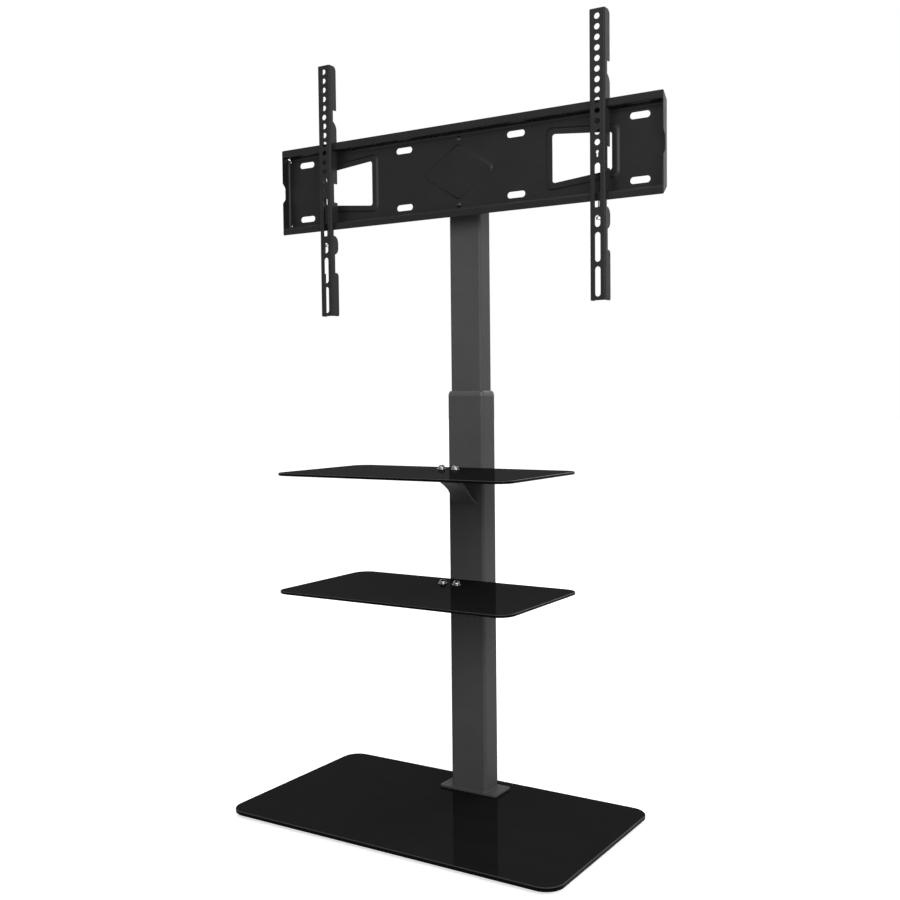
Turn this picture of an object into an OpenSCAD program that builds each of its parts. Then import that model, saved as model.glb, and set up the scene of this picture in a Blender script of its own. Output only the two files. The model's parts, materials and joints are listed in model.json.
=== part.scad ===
// Floor stand for a television: a glass base, a two-part telescopic column with two
// glass shelves, and a swivelling pressed-steel mount plate that carries two hook bars.
// Millimetres. The floor is z = 0, the middle of the base is x = y = 0 and the front
// of the stand faces -Y.

/* [Base] */
// Width of the glass base
base_w = 700; // [500:10:900]
// Depth of the glass base
base_d = 400; // [360:10:500]
// Thickness of the glass base
base_t = 8; // [6:1:12]
// Corner radius of the glass base
base_r = 35; // [10:1:60]
// Height of the rubber pads under the base
pad_h = 9; // [9:0.5:15]
// Diameter of a rubber pad
pad_d = 40; // [25:1:50]
// Distance from the edges of the base to a pad's centre
pad_inset = 45; // [30:1:60]
// Gap between the steel plate under the glass and the pads beside it
pad_gap = 15; // [5:1:40]

/* [Column] */
// Distance of the column's axis from the rear edge of the base
col_inset = 62.5; // [50:0.5:90]
// Outside width of the outer tube
outer_w = 80; // [76:1:100]
// Outside depth of the outer tube
outer_d = 50; // [46:1:70]
// Outside corner radius of the outer tube
outer_r = 6; // [4:0.5:8]
// Wall of the outer tube
outer_wall = 2; // [1.5:0.1:2.5]
// Height of the outer tube's top edge above the floor
outer_top = 801; // [740:1:900]
// Gap between the walls of the two tubes, where the plastic guides run
tube_gap = 3; // [2.5:0.1:4]
// Outside corner radius of the inner tube
inner_r = 5; // [3:0.5:6]
// Wall of the inner tube
inner_wall = 2; // [1.5:0.1:2.5]
// Length of inner tube that sits inside the outer tube
overlap = 370; // [320:5:420]
// Width of the foot flange
flange_w = 130; // [120:1:170]
// Depth of the foot flange
flange_d = 60; // [56:1:90]
// Thickness of the foot flange
flange_t = 4; // [3:0.5:8]
// Thickness of the rubber sheets above and below the glass
gasket_t = 1; // [0.5:0.1:2]
// Thickness of the steel plate under the glass
under_t = 3; // [2:0.5:4]
// Diameter of the base bolts
base_bolt_d = 8; // [6:1:8]
// Running clearance of the plastic guides
slide_gap = 0.3; // [0.2:0.05:0.5]
// Height of the collar on the outer tube
collar_h = 11; // [6:1:16]
// Length of the collar's skirt inside the outer tube
skirt_h = 60; // [30:1:80]
// Length of the glide on the foot of the inner tube
glide_h = 40; // [20:1:60]

/* [Height clamp] */
// Height of the middle of the clamp plate above the floor
clamp_z = 680; // [640:1:700]
// Width of the clamp plate
clamp_w = 36; // [30:1:60]
// Height of the clamp plate
clamp_h = 90; // [70:1:100]
// Thickness of the clamp plate
clamp_t = 6; // [4:0.5:8]
// Distance between the two clamp screws
clamp_pitch = 50; // [40:1:60]
// Diameter of a clamp screw
clamp_screw_d = 8; // [6:1:10]

/* [Shelves] */
// Width of a shelf
shelf_w = 500; // [300:10:600]
// Depth of a shelf
shelf_d = 280; // [200:5:300]
// Thickness of a shelf
shelf_t = 5; // [4:0.5:8]
// Corner radius of a shelf
shelf_r = 30; // [10:1:50]
// Height of the lower shelf's top face above the floor
lower_shelf_z = 441.5; // [300:0.5:480]
// Height of the upper shelf's top face above the floor
upper_shelf_z = 662.5; // [600:0.5:700]
// Thickness of the rubber pad under a shelf
shelf_pad_t = 2; // [1:0.5:3]
// Gap between a shelf and the upright plate of its bracket
shelf_gap = 0.5; // [0.3:0.1:2]
// Diameter of the shelf screws
shelf_screw_d = 6; // [4:1:6]
// Distance between the two screws of a shelf
shelf_screw_pitch = 31; // [28:0.5:33]
// Distance of the shelf screws in front of the column
shelf_screw_front = 62; // [50:1:68]
// Diameter of the flange under a shelf screw's domed head
shelf_head_d = 18; // [12:0.5:20]

/* [Shelf bracket] */
// Width of the bracket's upright plate
upright_w = 60; // [58:1:70]
// Height of the upright plate above the shelf's top face
upright_rise = 4.5; // [2:0.5:8]
// Corner radius at the top of the upright plate
upright_r = 12; // [4:1:16]
// Width of the bracket's flat top
seat_w = 47; // [46:1:56]
// Outside width of the curved brace
brace_w = 36.5; // [34:0.5:42]
// Width of the brace where it meets the upright plate
brace_foot_w = 56; // [48:0.5:56.5]
// Reach of the bracket in front of the column
bracket_reach = 92; // [80:1:120]
// Depth of the brace on the column below the shelf's top face
brace_drop = 78; // [60:1:100]
// Bracket sheet thickness
bracket_t = 3; // [2:0.5:4]
// Radius of the brace's curve, seen from the side
brace_bow = 172; // [140:1:220]
// Upright height of the brace's folded edges
brace_lip = 12; // [8:0.5:13]

/* [Mount plate] */
// Height of the middle of the mount plate above the floor
plate_z = 1232.5; // [1200:0.5:1320]
// Width of the mount plate
plate_w = 848; // [800:1:900]
// Height of the tray between its outer flange faces
tray_h = 150; // [150:1:170]
// Depth of the tray from its back to the front of its rails
tray_depth = 22; // [20:0.5:24]
// Height of a rail beyond the tray's flange
rail_h = 13; // [10:0.5:16]
// Sheet thickness of the mount plate
sheet = 2; // [1.5:0.1:2.5]
// Inside bend radius round the tray's back
tray_bend = 5; // [4:0.5:5]
// Inside bend radius at the foot of a rail
rail_bend = 2; // [1.5:0.1:2.5]
// Distance from the column's axis to the back of the tray
plate_reach = 37.5; // [37.5:0.5:42]
// Distance between the outer slot columns
slot_span_out = 746; // [740:1:760]
// Distance between the inner slot columns
slot_span_in = 252; // [240:1:260]
// Distance between the two slot rows
slot_rows = 112; // [108:1:114]
// Overall length of a slot
slot_len = 38; // [24:1:40]
// Width of a slot
slot_w = 12; // [8:0.5:13]
// Distance from the middle to the inner edge of a side opening
window_in = 203; // [195:1:210]
// Distance from the middle to the outer edge of a side opening
window_out = 321; // [300:1:325]
// Height of a side opening at its inner edge
window_h_in = 89; // [70:1:90]
// Height of a side opening at its outer edge
window_h_out = 66; // [50:1:70]
// Width of the pressed rim round a side opening
rim_w = 12; // [9:0.5:13]
// Height of the pressed forms above the back of the tray
press_h = 3; // [2.5:0.1:3]
// Width of the pressed diamond
diamond_w = 168; // [150:1:172]
// Height of the pressed diamond
diamond_h = 108; // [96:1:110]
// Length of the notch in an end flange
notch_len = 46; // [40:1:60]
// Length of the flat bottom of that notch
notch_flat = 20; // [10:1:30]
// Depth of the notch in an end flange
notch_depth = 8.5; // [5:0.5:11]
// Distance between the two screws that hold the plate to its swivel bracket
plate_screw_pitch = 125; // [119:0.5:125]
// Diameter of the plate screws
plate_screw_d = 6; // [5:1:6]
// Diameter of a plate screw's domed head
plate_head_d = 11; // [9:0.5:11]

/* [Swivel] */
// Width of the swivel bracket
swivel_w = 120; // [110:1:130]
// Height of the swivel bracket's upright plate
swivel_h = 152; // [146:1:156]
// Thickness of the swivel bracket
swivel_t = 4; // [3:0.5:4]
// Depth of the folded sides of the swivel bracket
swivel_fold = 16; // [10:1:20]
// Thickness of the arm over the column
arm_t = 5; // [4:0.5:8]
// Radius of the arm's round end
arm_r = 26; // [22:1:30]
// Height of the swivel cap's top face above the middle of the mount plate
cap_rise = 8; // [4:0.5:12]
// Thickness of the steel cap on the inner tube
cap_t = 5; // [4:0.5:8]
// Thickness of the friction disc
disc_t = 2; // [1:0.5:3]
// Diameter of the friction disc
disc_d = 38; // [30:1:40]
// Diameter of the pivot bolt
pivot_d = 12; // [10:1:14]
// Running clearance of the pivot bolt on its diameter
pivot_gap = 0.15; // [0.1:0.01:0.2]

/* [Hook bars] */
// Distance between the centre lines of the two bars
bar_span = 608; // [400:2:640]
// Width of a bar
bar_w = 30; // [28:0.5:34]
// Sheet thickness of a bar
bar_t = 2.5; // [2:0.1:3]
// Distance from the front of the rails to the front face of a bar
bar_front = 8; // [7.5:0.1:9]
// Depth of a bar's side wall at its teeth
bar_depth = 22; // [18:0.5:24]
// Depth of a bar's other side wall at its teeth
bar_lip = 15; // [13:0.5:18]
// Depth of a bar's side wall between its teeth
bar_waist = 11; // [9:0.5:13]
// Height of the bar's top end above the middle of the plate
bar_up = 244; // [240:1:260]
// Length of the bar below the middle of the plate
bar_down = 263.5; // [262:0.5:280]
// Clearance between the hooks and the rails
rail_gap = 0.3; // [0.2:0.05:0.5]
// Diameter of the round mounting holes
hole_d = 11; // [6.5:0.5:11]
// Distance between the round mounting holes
hole_pitch = 18.18; // [16:0.01:18.2]
// Number of round mounting holes
hole_count = 13; // [8:1:13]
// Distance from the top end of a bar to its first hole
hole_top = 13; // [10:0.5:14]
// Diameter of a lock screw
lock_d = 6; // [5:1:6]
// Diameter of a lock screw's head
lock_head_d = 12; // [10:0.5:12]

/* [Hidden] */
$fn = 64;
eps = 0.01;

// Heights
glass_top = pad_h + base_t;
flange_z = glass_top + gasket_t;
tube_z = flange_z + flange_t;
cap_top = plate_z + cap_rise;
mast_top = cap_top - cap_t;
mast_foot = outer_top - overlap;
arm_z = cap_top + disc_t + slide_gap;

// Column sections
col_back = base_d / 2 - col_inset;
cavity_w = outer_w - 2 * outer_wall;
cavity_d = outer_d - 2 * outer_wall;
cavity_r = outer_r - outer_wall;
inner_w = cavity_w - 2 * tube_gap;
inner_d = cavity_d - 2 * tube_gap;
col_front = col_back - outer_d / 2;
col_rear = col_back + outer_d / 2;
collar_taper = 2.5;

// Base fixing
bolt_px = 25;
bolt_py = 13;
bolt_hole_d = base_bolt_d + 1;
bolt_head_h = 4;
nut_h = 6;
under_w = flange_w + 20;
under_d = flange_d + 10;

// Shelf fixing
shelf_back = col_front - bracket_t - shelf_gap;
shelf_screw_y = col_front - shelf_screw_front;
shelf_hole_d = shelf_screw_d + 2;
shelf_head_h = 8;
shelf_flange_h = 1.5;
screw_fit = 0.4;

// Mount plate places, measured along Y
tray_back = col_back - plate_reach;
tray_face = tray_back - sheet;
rail_face = tray_back - tray_depth;
tray_out = tray_bend + sheet;
rail_out = rail_bend + sheet;
end_gap = 0.5;
relief_d = 3;
rim_slope = 3; // Reach of a window rim's outer slope beyond the rim

// Bars, measured from the middle of the plate
bar_face = rail_face - bar_front;
bar_back = bar_face + bar_depth;
bar_mid = bar_face + bar_waist;
flange_top = tray_h / 2;
flange_under = tray_h / 2 - sheet;
rail_top = tray_h / 2 + rail_h;
hook_strip = rail_face - rail_gap;
lock_y = rail_face + sheet / 2;
lock_tab_z = -rail_top - 14.5;
lock_head_h = 5;

// A rectangle with round corners, centred
module round_rect(w, d, r) {
    square([w - 2 * r, d], center = true);
    square([w, d - 2 * r], center = true);
    for (sx = [-1, 1], sy = [-1, 1])
        translate([sx * (w / 2 - r), sy * (d / 2 - r)]) circle(r);
}

// A slot with round ends, lying along X, centred
module slot(len, w) {
    square([len - w, w], center = true);
    for (s = [-1, 1]) translate([s * (len - w) / 2, 0]) circle(d = w);
}

function unit(v) = v / norm(v);
function to_next(p, i) = unit(p[(i + 1) % len(p)] - p[i]);
function to_last(p, i) = unit(p[(i + len(p) - 1) % len(p)] - p[i]);
function half_angle(p, i) = acos(to_next(p, i) * to_last(p, i)) / 2;

// A convex polygon whose corners are rounded, each with its own radius
module round_poly(p, r) {
    polygon([for (i = [0 : len(p) - 1], k = [0, 1])
        p[i] + (k == 0 ? to_last(p, i) : to_next(p, i)) * r[i] / tan(half_angle(p, i))]);
    for (i = [0 : len(p) - 1])
        translate(p[i] + unit(to_next(p, i) + to_last(p, i)) * r[i] / sin(half_angle(p, i)))
            circle(r[i]);
}

// A quarter of a bent sheet: the bend opens towards +X +Y from its centre
module bend(r_in, t) {
    difference() {
        intersection() {
            circle(r_in + t);
            square(r_in + t);
        }
        circle(r_in);
    }
}

// Stand a flat outline up, facing the front, from y0 backwards
module along_y(y0, t) {
    translate([0, y0 + t, 0]) rotate([90, 0, 0]) linear_extrude(t) children();
}

// Run an outline drawn in Y and Z along X, from x0
module along_x(x0, len) {
    translate([x0, 0, 0]) rotate([90, 0, 90]) linear_extrude(len) children();
}

// A rectangular tube with round corners
module tube(w, d, r, wall, z0, z1) {
    translate([0, col_back, z0]) linear_extrude(z1 - z0) difference() {
        round_rect(w, d, r);
        round_rect(w - 2 * wall, d - 2 * wall, r - wall);
    }
}

// A hexagon nut standing on z = 0
module hex_nut(across, h, bore) {
    difference() {
        cylinder(d = across / cos(30), h = h, $fn = 6);
        translate([0, 0, -eps]) cylinder(d = bore, h = h + 2 * eps);
    }
}

// A low domed screw head on z = 0, with a hexagon socket
module dome_head(d, h, socket) {
    ball_r = (d * d / 4 + h * h) / (2 * h);
    difference() {
        rotate_extrude() intersection() {
            translate([0, h - ball_r]) circle(ball_r);
            square([d / 2, h]);
        }
        translate([0, 0, h / 2]) cylinder(d = socket / cos(30), h = h, $fn = 6);
    }
}

// The four places of the base bolts
module at_base_bolts(z) {
    for (sx = [-1, 1], sy = [-1, 1])
        translate([sx * bolt_px, col_back + sy * bolt_py, z]) children();
}

// The two places of a shelf's screws
module at_shelf_screws(z) {
    for (s = [-1, 1]) translate([s * shelf_screw_pitch / 2, shelf_screw_y, z]) children();
}

// Base

module foot_pads() {
    corner_x = base_w / 2 - pad_inset;
    side_y = base_d / 2 - pad_inset;
    middle_x = under_w / 2 + pad_gap + pad_d / 2;
    places = [[corner_x, -side_y], [corner_x, side_y], [middle_x, side_y]];
    color("black") for (p = places, s = [-1, 1]) translate([s * p[0], p[1], 0])
        rotate_extrude() polygon([[0, 0], [pad_d / 2 - 2, 0], [pad_d / 2, 2],
            [pad_d / 2, pad_h], [0, pad_h]]);
}

module base_glass() {
    color([0.1, 0.1, 0.1]) difference() {
        translate([0, 0, pad_h]) linear_extrude(base_t) round_rect(base_w, base_d, base_r);
        at_base_bolts(pad_h - 1) cylinder(d = bolt_hole_d + 3, h = base_t + 2);
    }
}

module foot_sheet(w, d, t, hole) {
    difference() {
        linear_extrude(t) translate([0, col_back]) round_rect(w, d, 5);
        at_base_bolts(-1) cylinder(d = hole, h = t + 2);
    }
}

module under_plate() {
    color([0.25, 0.25, 0.25]) translate([0, 0, pad_h - gasket_t - under_t])
        foot_sheet(under_w, under_d, under_t, bolt_hole_d);
}

module under_gasket() {
    color("black") translate([0, 0, pad_h - gasket_t])
        foot_sheet(under_w, under_d, gasket_t, bolt_hole_d);
}

module foot_gasket() {
    color("black") translate([0, 0, glass_top])
        foot_sheet(flange_w - 2, flange_d - 2, gasket_t, bolt_hole_d);
}

module foot_flange() {
    color([0.27, 0.27, 0.27]) translate([0, 0, flange_z])
        foot_sheet(flange_w, flange_d, flange_t, bolt_hole_d);
}

module base_bolts() {
    head_z = pad_h - gasket_t - under_t - bolt_head_h;
    color("silver") at_base_bolts(head_z) difference() {
        union() {
            cylinder(d = base_bolt_d * 1.7, h = bolt_head_h);
            cylinder(d = base_bolt_d, h = tube_z + nut_h + 2 - head_z);
        }
        translate([0, 0, -eps]) cylinder(d = 5 / cos(30), h = 2.5, $fn = 6);
    }
}

module foot_nuts() {
    color("silver") at_base_bolts(tube_z) hex_nut(13, nut_h, base_bolt_d);
}

// Column

module outer_tube() {
    color([0.27, 0.27, 0.27]) difference() {
        tube(outer_w, outer_d, outer_r, outer_wall, tube_z, outer_top);
        at_clamp_screws(col_rear - 2 * outer_wall)
            cylinder(d = clamp_screw_d + screw_fit, h = 4 * outer_wall);
    }
}

module top_collar() {
    bore_w = inner_w + 2 * slide_gap;
    bore_d = inner_d + 2 * slide_gap;
    skirt_fit = 0.1;
    color([0.2, 0.2, 0.2]) difference() {
        union() {
            translate([0, col_back, outer_top - skirt_h]) linear_extrude(skirt_h + 1)
                round_rect(cavity_w - 2 * skirt_fit, cavity_d - 2 * skirt_fit, cavity_r);
            hull() for (k = [[0, 0], [0.3, 0], [0.75, 0.4], [1, 1]])
                translate([0, col_back, outer_top + k[0] * (collar_h - eps)]) linear_extrude(eps)
                    round_rect(outer_w - 2 * collar_taper * k[1],
                        outer_d - 2 * collar_taper * k[1], outer_r, $fn = 32);
        }
        translate([0, col_back, outer_top - skirt_h - 1]) linear_extrude(skirt_h + collar_h + 2)
            round_rect(bore_w, bore_d, inner_r + slide_gap);
    }
}

// The two places of the clamp screws, with +Z running back out of the column
module at_clamp_screws(y) {
    for (s = [-1, 1]) translate([0, y, clamp_z + s * clamp_pitch / 2]) rotate([-90, 0, 0])
        children();
}

module clamp_plate() {
    color([0.27, 0.27, 0.27]) difference() {
        translate([0, 0, clamp_z]) along_y(col_rear, clamp_t) round_rect(clamp_w, clamp_h, 6);
        at_clamp_screws(col_rear - 1) cylinder(d = clamp_screw_d, h = clamp_t + 2);
    }
}

module clamp_screws() {
    tip = col_back + inner_d / 2 + slide_gap;
    shank = col_rear + clamp_t + 4 - tip;
    color("silver") at_clamp_screws(tip) difference() {
        union() {
            cylinder(d = clamp_screw_d, h = shank);
            translate([0, 0, shank]) cylinder(d = clamp_screw_d * 1.6, h = clamp_screw_d);
        }
        translate([0, 0, shank + 3]) cylinder(d = 6 / cos(30), h = clamp_screw_d, $fn = 6);
    }
}

// Shelves

// The middle of the circle with radius r that passes through a and b, on the left of a
// walk from a to b
function arc_middle(a, b, r) = (a + b) / 2
    + [a[1] - b[1], b[0] - a[0]] / norm(b - a) * sqrt(r * r - norm(b - a) * norm(b - a) / 4);
function angle_of(v) = atan2(v[1], v[0]);

brace_steps = 16; // Flats that make up the brace's curve
brace_flare = 35; // Length over which the brace widens towards the column
brace_bare = 5;   // Degrees of the curve next to the column that have no folded edges
nut_room = 7.5;   // Room for nuts and screw ends between the flat top and those edges

// A strip of a ring round c, between radius r0 and r1 and from angle a0 to a1
module ring_strip(c, r0, r1, a0, a1) {
    polygon(concat(
        [for (i = [0 : brace_steps]) let (a = a0 + (a1 - a0) * i / brace_steps)
            c + r0 * [cos(a), sin(a)]],
        [for (i = [brace_steps : -1 : 0]) let (a = a0 + (a1 - a0) * i / brace_steps)
            c + r1 * [cos(a), sin(a)]]));
}

// A folded edge of the brace seen from the side, on the ring strip's middle line
module brace_edge_side(c, a0, a1, ceiling) {
    line = [for (i = [0 : brace_steps]) let (a = a0 + (a1 - a0) * i / brace_steps)
        c + (brace_bow + bracket_t / 2) * [cos(a), sin(a)]];
    polygon(concat(line, [for (i = [brace_steps : -1 : 0]) let (p = line[i])
        [p[0], max(p[1] + bracket_t, min(p[1] + brace_lip - bracket_t / 2, ceiling))]]));
}

// The right edge of the brace seen from above: straight, then wider towards the column
function brace_edge(front) = concat([[brace_w / 2, front + 1.5]],
    [for (i = [0 : 8]) let (t = i / 8)
        [brace_w / 2 + (brace_foot_w - brace_w) / 2 * pow(t, 1.15),
            col_front - bracket_t / 2 - brace_flare * (1 - t)]]);

// A shelf bracket: an upright plate on the column, a flat top under the glass and a
// pressed brace that curves from the one to the other, with folded edges
module shelf_bracket(top) {
    seat = top - shelf_t - shelf_pad_t;
    front = col_front - bracket_reach;
    low = [col_front, top - brace_drop];
    high = [front, seat - bracket_t - 5];
    c = arc_middle(low, high, brace_bow);
    a_low = angle_of(low - c);
    a_high = angle_of(high - c);
    weld_y = col_front - bracket_t / 2;
    weld_z = seat - bracket_t / 2;
    edge = brace_edge(front);
    difference() {
        union() {
            translate([0, 0, top + (upright_rise - brace_drop) / 2])
                along_y(col_front - bracket_t, bracket_t)
                    round_poly_box(upright_w, upright_rise + brace_drop, upright_r, 3);
            translate([0, front, seat - bracket_t]) linear_extrude(bracket_t)
                mirror([0, 1]) folded(seat_w, bracket_reach - bracket_t / 2, 6);
            intersection() {
                along_x(-brace_foot_w, 2 * brace_foot_w)
                    ring_strip(c, brace_bow, brace_bow + bracket_t, a_low - 3, a_high + 3);
                translate([0, 0, low[1] - 30]) linear_extrude(brace_drop + 30)
                    polygon(concat(edge, [for (i = [len(edge) - 1 : -1 : 0])
                        [-edge[i][0], edge[i][1]]]));
            }
            for (s = [-1, 1]) translate([s * (brace_w / 2 - bracket_t / 2 - 0.3), 0, 0])
                along_x(-bracket_t / 2, bracket_t)
                    brace_edge_side(c, a_low + brace_bare, a_high - 7,
                        seat - bracket_t - nut_room);
            along_x(-brace_w / 2 + bracket_t, brace_w - 2 * bracket_t) polygon([
                [front + 3, high[1] - 0.2], [front + 12, high[1] - 2.8],
                [front + 12, weld_z], [front + 3, weld_z]]);
        }
        at_shelf_screws(seat - bracket_t - 1)
            cylinder(d = shelf_screw_d + screw_fit, h = bracket_t + 2);
    }
}

// A rectangle from y = 0 down, with its two upper corners round
module folded(w, d, r) {
    round_poly([[-w / 2, -d], [w / 2, -d], [w / 2, 0], [-w / 2, 0]], [0.5, 0.5, r, r]);
}

// A rectangle with two radii: the upper corners and the lower corners
module round_poly_box(w, h, r_up, r_low) {
    round_poly([[-w / 2, -h / 2], [w / 2, -h / 2], [w / 2, h / 2], [-w / 2, h / 2]],
        [r_low, r_low, r_up, r_up]);
}

module bracket_lower() {
    color([0.12, 0.12, 0.12]) shelf_bracket(lower_shelf_z);
}

module bracket_upper() {
    color([0.12, 0.12, 0.12]) shelf_bracket(upper_shelf_z);
}

module shelf_pad(top) {
    d = bracket_reach - bracket_t - shelf_gap - 12;
    difference() {
        translate([0, shelf_back - d / 2, top - shelf_t - shelf_pad_t])
            linear_extrude(shelf_pad_t) round_rect(seat_w - 2, d, 4);
        at_shelf_screws(top - shelf_t - shelf_pad_t - 1)
            cylinder(d = shelf_screw_d + screw_fit, h = shelf_pad_t + 2);
    }
}

module shelf_pad_lower() {
    color("black") shelf_pad(lower_shelf_z);
}

module shelf_pad_upper() {
    color("black") shelf_pad(upper_shelf_z);
}

module shelf_glass(top) {
    difference() {
        translate([0, shelf_back - shelf_d / 2, top - shelf_t]) linear_extrude(shelf_t)
            round_rect(shelf_w, shelf_d, shelf_r);
        at_shelf_screws(top - shelf_t - 1) cylinder(d = shelf_hole_d, h = shelf_t + 2);
    }
}

module shelf_lower() {
    color([0.1, 0.1, 0.1]) shelf_glass(lower_shelf_z);
}

module shelf_upper() {
    color([0.1, 0.1, 0.1]) shelf_glass(upper_shelf_z);
}

module shelf_screws() {
    below = shelf_t + shelf_pad_t + bracket_t + 6;
    color("silver") for (top = [lower_shelf_z, upper_shelf_z]) at_shelf_screws(top) {
        cylinder(d = shelf_head_d, h = shelf_flange_h);
        translate([0, 0, shelf_flange_h / 2]) dome_head(shelf_head_d - 4, shelf_head_h, 4);
        translate([0, 0, -below]) cylinder(d = shelf_screw_d, h = below + shelf_flange_h / 4);
    }
}

module shelf_nuts() {
    nut = 5;
    color("silver") for (top = [lower_shelf_z, upper_shelf_z])
        at_shelf_screws(top - shelf_t - shelf_pad_t - bracket_t - nut)
            hex_nut(shelf_screw_d * 1.6, nut, shelf_screw_d);
}

// Mast

module inner_tube() {
    color([0.27, 0.27, 0.27])
        tube(inner_w, inner_d, inner_r, inner_wall, mast_foot, mast_top);
}

module bottom_glide() {
    lip = 4;
    out_w = cavity_w - 2 * slide_gap;
    out_d = cavity_d - 2 * slide_gap;
    color([0.15, 0.15, 0.15]) translate([0, col_back, mast_foot - lip]) difference() {
        linear_extrude(glide_h + lip) round_rect(out_w, out_d, cavity_r - slide_gap);
        translate([0, 0, lip]) linear_extrude(glide_h + 1) round_rect(inner_w, inner_d, inner_r);
        translate([0, 0, -1]) linear_extrude(lip + 2)
            round_rect(inner_w - 2 * inner_wall, inner_d - 2 * inner_wall, inner_r - inner_wall);
    }
}

module tube_cap() {
    color([0.27, 0.27, 0.27]) translate([0, col_back, mast_top]) difference() {
        linear_extrude(cap_t) round_rect(inner_w, inner_d, inner_r);
        translate([0, 0, -1]) cylinder(d = pivot_d + pivot_gap, h = cap_t + 2);
    }
}

module friction_disc() {
    color("white") translate([0, col_back, cap_top]) difference() {
        cylinder(d = disc_d, h = disc_t);
        translate([0, 0, -1]) cylinder(d = pivot_d + pivot_gap, h = disc_t + 2);
    }
}

pivot_nut_h = 12;
pivot_head_z = arm_z + arm_t + slide_gap;

module pivot_bolt() {
    foot = mast_top - pivot_nut_h - 3;
    color("silver") translate([0, col_back, 0]) {
        translate([0, 0, foot]) cylinder(d = pivot_d, h = pivot_head_z - foot + eps);
        translate([0, 0, pivot_head_z]) cylinder(d = pivot_d * 2, h = 2);
        translate([0, 0, pivot_head_z + 2]) cylinder(d = 19 / cos(30), h = 7.5, $fn = 6);
    }
}

module pivot_nut() {
    color("silver") translate([0, col_back, mast_top - pivot_nut_h])
        hex_nut(19, pivot_nut_h, pivot_d);
}

// Head

module at_plate_screws(y) {
    for (s = [-1, 1]) translate([0, y, plate_z + s * plate_screw_pitch / 2])
        rotate([-90, 0, 0]) children();
}

// The swivel bracket: an upright plate with folded sides, an arm over the column and
// two gussets between them.
module swivel_bracket() {
    fold_r = 4;
    gusset_y = 44;
    gusset_z = 48;
    weld_y = tray_back + swivel_t / 2;
    weld_z = arm_z + arm_t / 2;
    color([0.2, 0.2, 0.2]) difference() {
        union() {
            translate([0, tray_back, plate_z - swivel_h / 2]) linear_extrude(swivel_h)
                mirror([0, 1]) difference() {
                    folded(swivel_w, swivel_fold, fold_r + swivel_t);
                    translate([0, -swivel_t])
                        folded(swivel_w - 2 * swivel_t, swivel_fold, fold_r);
                }
            translate([0, 0, arm_z]) linear_extrude(arm_t) {
                translate([0, col_back]) circle(arm_r);
                translate([-arm_r, weld_y]) square([2 * arm_r, col_back - weld_y]);
            }
            for (s = [-1, 1]) translate([s * (arm_r - swivel_t / 2 - 1), 0, 0])
                along_x(-swivel_t / 2, swivel_t) polygon([[weld_y, weld_z],
                    [tray_back + swivel_t + gusset_y, weld_z],
                    [tray_back + swivel_t + gusset_y, arm_z + arm_t + 6],
                    [weld_y, arm_z + arm_t + gusset_z]]);
        }
        translate([0, col_back, arm_z - 1])
            cylinder(d = pivot_d + pivot_gap, h = arm_t + 2);
        at_plate_screws(tray_back - 1)
            cylinder(d = plate_screw_d + screw_fit, h = swivel_t + 2);
    }
}

module plate_screws() {
    reach = sheet + swivel_t + 8;
    color([0.2, 0.2, 0.2]) at_plate_screws(tray_face) {
        mirror([0, 0, 1]) dome_head(plate_head_d, 3.5, 4);
        cylinder(d = plate_screw_d, h = reach);
    }
}

module plate_nuts() {
    color("silver") at_plate_screws(tray_back + swivel_t) hex_nut(10, 5, plate_screw_d);
}

// Half of the tray's section, from the middle up, drawn in Y and Z
module tray_half() {
    translate([tray_face, -eps]) square([sheet, flange_top - tray_out + 2 * eps]);
    translate([tray_back - tray_out, flange_top - tray_out]) bend(tray_bend, sheet);
    rail_part();
}

// The flange and its upturned rail
module rail_part() {
    translate([rail_face + rail_out - eps, flange_under])
        square([tray_depth - tray_out - rail_out + 2 * eps, sheet]);
    translate([rail_face + rail_out, flange_under + rail_out]) mirror([1, 0]) mirror([0, 1])
        bend(rail_bend, sheet);
    translate([rail_face, flange_under + rail_out - eps])
        square([sheet, rail_top - flange_under - rail_out + eps]);
}

// The outline of a side opening, grown by g
module window(g, r) {
    h_in = window_h_in / 2 + g;
    h_out = window_h_out / 2 + g;
    round_poly([[window_in - g, -h_in], [window_out + g, -h_out],
        [window_out + g, h_out], [window_in - g, h_in]], [r, r, r, r]);
}

module diamond(g, r) {
    w = diamond_w / 2 + g * 1.8;
    h = diamond_h / 2 + g * 1.25;
    round_poly([[-w, 0], [0, -h], [w, 0], [0, h]], [r, r, r, r]);
}

// A pressed form with sloping sides: the outline drawn at the foot and at the top
module pressed(y_foot, y_top) {
    hull() {
        along_y(y_foot, eps) children(0);
        along_y(y_top, eps) children(1);
    }
}

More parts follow.
